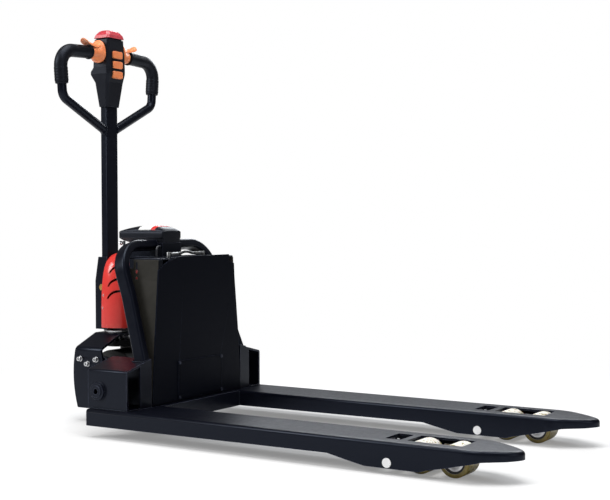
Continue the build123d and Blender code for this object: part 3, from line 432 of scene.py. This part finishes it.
def resample(pts, step):
    res = [pts[0].copy()]
    left = step
    for a, b in zip(pts, pts[1:]):
        d = (b - a).length
        pos = 0.0
        while d - pos >= left:
            pos += left
            res.append(a + (b - a) * (pos / d))
            left = step
        left -= d - pos
    if (res[-1] - pts[-1]).length > step * 0.3:
        res.append(pts[-1].copy())
    return res


def weld(name, body, runs, r=0.0026, mat="frame_dark"):
    """Rippled weld bead along each run of points."""
    bm = bmesh.new()
    for pts in runs:
        p = resample(pts, 0.0016)
        if len(p) < 4:
            continue
        radii = []
        for i in range(len(p)):
            k = 0.5 + 0.5 * math.cos(i * math.pi * 2 / 3)
            end = min(1.0, 0.45 + 0.3 * min(i, len(p) - 1 - i))
            radii.append(r * (0.82 + 0.2 * k + random.uniform(-0.03, 0.03)) * end)
        sweep_tube(bm, p, radii, 10)
    return obj_from(bm, name, body, mat, smooth_angle=80)


def lathe(bm, profile, origin, axis, segs=48):
    """Closed profile of (radius, distance along axis) pairs turned about an axis."""
    axis = axis.normalized()
    ref = Vector((0, 0, 1)) if abs(axis.z) < 0.9 else Vector((1, 0, 0))
    u = axis.cross(ref).normalized()
    v = axis.cross(u)
    rings = []
    for r, d in profile:
        rings.append([bm.verts.new(origin + axis * d + (u * math.cos(2 * math.pi * k / segs) + v * math.sin(2 * math.pi * k / segs)) * r) for k in range(segs)])
    n = len(rings)
    for i in range(n):
        a, b = rings[i], rings[(i + 1) % n]
        for k in range(segs):
            bm.faces.new((a[k], a[(k + 1) % segs], b[(k + 1) % segs], b[k]))


def lathe_solid(bm, profile, origin, axis, segs=48):
    """Open profile from axis to axis, capped at both ends."""
    axis = axis.normalized()
    ref = Vector((0, 0, 1)) if abs(axis.z) < 0.9 else Vector((1, 0, 0))
    u = axis.cross(ref).normalized()
    v = axis.cross(u)
    rings = [[bm.verts.new(origin + axis * d + (u * math.cos(2 * math.pi * k / segs) + v * math.sin(2 * math.pi * k / segs)) * r) for k in range(segs)] for r, d in profile]
    for a, b in zip(rings, rings[1:]):
        for k in range(segs):
            bm.faces.new((a[k], a[(k + 1) % segs], b[(k + 1) % segs], b[k]))
    bm.faces.new(list(reversed(rings[0])))
    bm.faces.new(rings[-1])


def curve_at(table, x):
    """Smooth interpolation through (x, value) pairs."""
    xs = [t[0] for t in table]
    if x <= xs[0]:
        return table[0][1]
    if x >= xs[-1]:
        return table[-1][1]
    i = max(k for k in range(len(xs)) if xs[k] <= x)
    i = min(i, len(xs) - 2)
    p = [table[max(i - 1, 0)], table[i], table[i + 1], table[min(i + 2, len(xs) - 1)]]
    t = (x - p[1][0]) / (p[2][0] - p[1][0])
    m1 = (p[2][1] - p[0][1]) / max(p[2][0] - p[0][0], 1e-6) * (p[2][0] - p[1][0])
    m2 = (p[3][1] - p[1][1]) / max(p[3][0] - p[1][0], 1e-6) * (p[2][0] - p[1][0])
    return ((2 * t ** 3 - 3 * t ** 2 + 1) * p[1][1] + (t ** 3 - 2 * t ** 2 + t) * m1
            + (-2 * t ** 3 + 3 * t ** 2) * p[2][1] + (t ** 3 - t ** 2) * m2)


def loft(bm, sections, cap=True):
    rings = [[bm.verts.new(p) for p in s] for s in sections]
    n = len(rings[0])
    for a, b in zip(rings, rings[1:]):
        for k in range(n):
            bm.faces.new((a[k], a[(k + 1) % n], b[(k + 1) % n], b[k]))
    if cap:
        bm.faces.new(list(reversed(rings[0])))
        bm.faces.new(rings[-1])
    return rings


# ----------------------------------------------------------------- battery
dome = [(-138, 580.5), (-130, 584.5), (-112, 590), (-66, 597.5), (-22, 599.0), (14, 595), (34, 588), (40, 581.5)]
under = [(-138, 560), (-130, 553.5), (-85, 543.5), (-64, 541.5), (-50, 547)]


def lid_section(x, w, inset=0.0):
    h = curve_at(dome, x)
    zu = curve_at(under, x) if x < -50 else 547.0
    wb = w - 13 if x < -60 else w - 4
    half = [(0.0, zu), (wb * 0.6, zu), (wb, zu + 0.4), (wb + (w - 3 - wb) * 0.55, zu + (559 - zu) * 0.4), (w - 3.2, 558.6),
            (w - 1.0, 560.0), (w, 561.6), (w, 570), (w, 577.4), (w - 0.8, 579.2), (w - 3.0, 580.0), (w - 3.6, 580.6)]
    for k in range(1, 13):
        t = k / 12 * math.pi / 2
        y = (w - 3.6) * max(math.cos(t), 0.0) ** 0.62
        z = 580.6 + (h - 580.6) * math.sin(t) ** 0.95
        half.append((y, z))
    pts = [M(x, y, z) for y, z in half]
    pts += [M(x, -y, z) for y, z in reversed(half[1:-1])]
    return pts


stations = []
for k in range(7):
    a = k / 6 * math.pi / 2
    stations.append((-138 + 11 * (1 - math.cos(a)), 34 + 11 * math.sin(a)))
x = -124.0
while x < 35:
    stations.append((x, 45.0))
    x += 6.0
for k in range(7):
    a = (6 - k) / 6 * math.pi / 2
    stations.append((40 - 4 * (1 - math.cos(a)), 41 + 4 * math.sin(a)))
bm = bmesh.new()
loft(bm, [lid_section(x, w) for x, w in stations])
lid = obj_from(bm, "battery_lid", "battery", "black_plastic", smooth_angle=32, replaces=["battery_pack"])

# lower case of the battery with pressed ribs and rounded corners
bm = bmesh.new()
secs = []
for z, g in [(470.6, -1.6), (472.5, 0), (505, 0), (507, -1.2), (509, 0), (520, 0), (522, -1.2), (524, 0), (535, 0), (537, -1.2), (539, 0), (546.5, 0), (548, -1.0)]:
    hx, hy, c = 47.6 + g, 39.8 + g, 7.0
    ring = []
    for qx, qy, a0 in ((1, 1, 0), (-1, 1, 90), (-1, -1, 180), (1, -1, 270)):
        for k in range(5):
            a = math.radians(a0 + k * 22.5)
            ring.append(M(-13 + qx * (hx - c) + c * math.cos(a), qy * (hy - c) + c * math.sin(a), z))
    secs.append(ring)
loft(bm, secs)
obj_from(bm, "battery_case", "battery", "black_plastic", smooth_angle=30)

# latch stem under the tail of the lid
bm = bmesh.new()
lathe_solid(bm, [(0.0032, 0), (0.0054, 0.0008), (0.0054, 0.0046), (0.0042, 0.0052), (0.0042, 0.0076), (0.0056, 0.0082), (0.0056, 0.0125), (0.0044, 0.0132), (0.0044, 0.030)],
            M(-122, -34, 521.2), Vector((0, 0, 1)), 32)
obj_from(bm, "latch_stem", "battery", "chrome", smooth_angle=30)

# plain label across the crown: white field with a red end, no lettering


def crown_z(x, y):
    h = curve_at(dome, x)
    c = min(abs(y) / (45 - 3.6), 0.999)
    t = math.acos(c ** (1 / 0.62))
    return 580.6 + (h - 580.6) * math.sin(t) ** 0.95


for name, x0, x1, mat in (("label_field", -58, -10, "label_white"), ("label_band", -9.5, 6, "label_red")):
    bm = bmesh.new()
    grid = []
    for i in range(9):
        row = []
        for j in range(29):
            s = j / 28
            y = -41 + 66 * s
            xx = x0 + (x1 - x0) * i / 8 + 14 * s
            row.append(bm.verts.new(M(xx, y, crown_z(xx, y) + 0.35)))
        grid.append(row)
    for a, b in zip(grid, grid[1:]):
        for k in range(28):
            bm.faces.new((a[k], a[k + 1], b[k + 1], b[k]))
    o = obj_from(bm, name, "battery", mat, smooth_angle=60)
    so = o.modifiers.new("thick", "SOLIDIFY")
    so.thickness = 0.0004
    so.offset = 0

# ------------------------------------------------------------ motor cover
# two screws in moulded sockets on each flank
for s, side_name in ((-1, "right"), (1, "left")):
    bm = bmesh.new()
    bm2 = bmesh.new()
    for z, ang in ((381, 102), (342, 105)):
        a = math.radians(ang)
        d = Vector((math.cos(a), s * math.sin(a), 0))
        rr = 66.0 if z < 350 else 65.0
        o0 = M(-169 + rr * math.cos(a), s * rr * math.sin(a), z)
        lathe(bm, [(0.0034, -0.001), (0.0036, 0.0005), (0.0054, 0.0009), (0.0066, 0.0001), (0.0066, -0.001)], o0, d, 28)
        lathe_solid(bm2, [(0.0030, -0.0016), (0.0030, -0.0002), (0.0022, 0.0005), (0.0006, 0.0006)], o0, d, 24)
    obj_from(bm, side_name + "_cover_sockets", "drive_unit", "cover_red")
    obj_from(bm2, side_name + "_cover_screws", "drive_unit", "zinc")

# ------------------------------------------------------------------- welds
for s, hand in ((-1, "right"), (1, "left")):
    # hoop foot on the bracket's sloped top
    def slope(x, y):
        return 192 + (327 - abs(y)) * 26 / 108
    foot = [(134.5, 222.0), (93.0, 222.0), (93.0, 250.5), (134.5, 250.5), (134.5, 222.0)]
    foot3 = [M(x, s * y, slope(x, y) + 0.6) for x, y in foot]
    weld(hand + "_hoop_weld", "fork_frame", [foot3])
    weld(hand + "_bracket_weld", "fork_frame", [[M(0, s * 327.4, 81), M(134, s * 327.4, 81)], [M(137.3, s * 325, 81), M(137.3, s * 268, 81)]], 0.0024)
    ring = [M(rx, s * 327.6, rz) for rx, rz in [(33 + 25.6 * math.cos(a), 131 + 25.6 * math.sin(a)) for a in [k * math.pi / 24 for k in range(49)]]]
    weld(hand + "_collar_weld", "fork_frame", [ring], 0.0022)
    # loop tube on the side of the tiller
    pts = []
    cy, cz = 26.4, 899.8
    for k in range(41):
        a = k * math.pi / 20
        pts.append(M(-209.5 + 14.3 * math.cos(a), s * (cy + 0.0), cz + 16.0 * math.sin(a)))
    weld(hand + "_loop_weld", "tiller", [pts], 0.0020)
    weld(hand + "_cross_weld", "fork_frame", [[M(62, s * 182, 80.6), M(134, s * 182, 80.6)], [M(158.4, s * 182, 78), M(158.4, s * 182, 36)]], 0.0022)

# ------------------------------------------------------------------- grips
for s, hand in ((-1, "right"), (1, "left")):
    # flange at the inner end, ribs and a sleeve step at the lower end
    a0 = Vector((0, s * 0.128, -0.006351)).normalized()
    bm = bmesh.new()
    lathe(bm, [(0.0146, 0), (0.0206, 0), (0.0226, 0.0012), (0.0226, 0.0036), (0.0206, 0.0052), (0.0146, 0.0052)], M(-209.5, s * 89.2, 1133.89), a0, 48)
    obj_from(bm, hand + "_grip_flange", "tiller", "grip_rubber", smooth_angle=40)
    down = Vector((0, s * (210.391 - 218), 1031 - 1127.5)).normalized()
    end = M(-209.5, s * 210.391, 1031)
    bm = bmesh.new()
    prof = [(0.0144, -0.003)]
    prof += [(0.0204, -0.003)]
    for k in range(5):
        d = -0.003 - 0.0085 * k
        prof += [(0.0209, d - 0.0015), (0.0209, d - 0.0055), (0.0203, d - 0.007)]
    prof += [(0.0144, prof[-1][1])]
    lathe(bm, prof, end, down, 48)
    obj_from(bm, hand + "_grip_ribs", "tiller", "grip_rubber", smooth_angle=40)
    bm = bmesh.new()
    lathe(bm, [(0.0142, 0.0), (0.0190, 0.0), (0.0197, 0.0012), (0.0190, 0.0042), (0.0168, 0.0052), (0.0142, 0.0052)], end, down, 48)
    obj_from(bm, hand + "_grip_end", "tiller", "grip_rubber", smooth_angle=40)

# --------------------------------------------------------------- throttles
def cam_radius(a):
    """Flange outline: round below, drawn up to a blunt lobe on top."""
    t = math.cos(a - math.pi / 2)
    return 0.030 + 0.0105 * max(t, 0.0) ** 2.2 + 0.0008 * math.cos(3 * (a - math.pi / 2))


for s, hand in ((-1, "right"), (1, "left")):
    bm = bmesh.new()
    segs = 56
    inner, outer = [], []
    stations = [(44.2, 0.90, 1, 0), (44.6, 0.955, 1, 0), (45.8, 0.99, 1, 0), (48.0, 1.0, 1, 0), (51.5, 0.985, 1, 0), (53.5, 0.94, 0.92, 0.03),
                (55.0, 0.88, 0.7, 0.12), (57.0, 0.84, 0.42, 0.3), (60.0, 0.80, 0.24, 0.5), (64.0, 0.745, 0.12, 0.8), (69.0, 0.70, 0.05, 1.0),
                (75.0, 0.665, 0.0, 1.0), (81.0, 0.64, 0.0, 1.0), (83.0, 0.62, 0.0, 1.0), (83.8, 0.585, 0.0, 1.0)]
    for y, k, lobe, _ in stations:
        ro, ri = [], []
        for i in range(segs):
            a = 2 * math.pi * i / segs
            r = k * (0.030 + (cam_radius(a) - 0.030) * lobe)
            ro.append(bm.verts.new(M(-209.5 + 1000 * r * math.cos(a), s * y, 1134 + 1000 * r * math.sin(a))))
            ri.append(bm.verts.new(M(-209.5 + 14.5 * math.cos(a), s * y, 1134 + 14.5 * math.sin(a))))
        outer.append(ro)
        inner.append(ri)
    for rings in (outer, inner):
        for a, b in zip(rings, rings[1:]):
            for k in range(segs):
                bm.faces.new((a[k], a[(k + 1) % segs], b[(k + 1) % segs], b[k]))
    for o_ring, i_ring in ((outer[0], inner[0]), (outer[-1], inner[-1])):
        for k in range(segs):
            bm.faces.new((o_ring[k], o_ring[(k + 1) % segs], i_ring[(k + 1) % segs], i_ring[k]))
    # thumb wing: rises from the flange's lobe, dips, and flares over the grip
    wing = [(50.0, 30.5, 34, 5.0), (55.0, 29.0, 40, 6.4), (60.0, 27.0, 44, 6.8), (66.0, 25.0, 46, 6.4), (72.0, 24.2, 46, 6.0), (79.0, 24.8, 44, 5.6),
            (86.0, 26.0, 42, 5.2), (93.0, 27.4, 40, 5.0), (100.0, 29.0, 39, 4.8), (106.0, 31.0, 37, 4.8), (111.0, 33.2, 33, 4.8), (115.0, 35.6, 27, 4.6),
            (118.0, 37.4, 19, 4.0), (119.6, 38.4, 10, 2.6)]
    secs = []
    for y, rho, w, t in wing:
        top, bottom = [], []
        for i in range(13):
            q = -1 + 2 * i / 12
            a = math.radians(84.0 + w * q)
            th = t * 0.5 * math.sqrt(max(1 - abs(q) ** 2.6, 0.0)) + 0.25
            droop = 1.4 * q * q
            for lst, r in ((top, rho + th - droop), (bottom, rho - th - droop)):
                lst.append(M(-209.5 + r * math.cos(a), s * y, 1134 + r * math.sin(a)))
        secs.append(top + bottom[::-1])
    loft(bm, secs)
    obj_from(bm, hand + "_throttle_wing", "throttle", "button_orange", smooth_angle=50, replaces=[hand + "_throttle"])

# ----------------------------------------------------------------- rollers
for s, hand in ((-1, "right"), (1, "left")):
    for ax, place in ((1032, "inner"), (1124, "outer")):
        for side_s, tag in ((-1, "a"), (1, "b")):
            bm = bmesh.new()
            y = s * 262.5 + side_s * 26.2
            lathe(bm, [(0.0086, 0), (0.0110, 0), (0.0116, 0.0006), (0.0116, 0.0040), (0.0155, 0.0040), (0.0165, 0.0034), (0.0240, 0.0034), (0.0245, 0.0020), (0.0245, -0.001), (0.0086, -0.001)],
                  M(ax, y, 40), Vector((0, side_s, 0)), 48)
            obj_from(bm, "%s_%s_roller_seal_%s" % (hand, place, tag), "%s_%s_roller" % (hand, place), "steel", smooth_angle=35)

# drive wheel bolts
bm = bmesh.new()
for k in range(5):
    a = k * 2 * math.pi / 5 + 0.3
    p = M(-169 + 21 * math.cos(a), 0, 105 + 21 * math.sin(a)) + Vector((0, -0.035, 0))
    lathe_solid(bm, [(0.0042, 0.0), (0.0042, 0.0030), (0.0034, 0.0036), (0.0012, 0.0036)], p, Vector((0, -1, 0)), 6)
obj_from(bm, "drive_wheel_bolts", "drive_wheel", "zinc", smooth_angle=30)
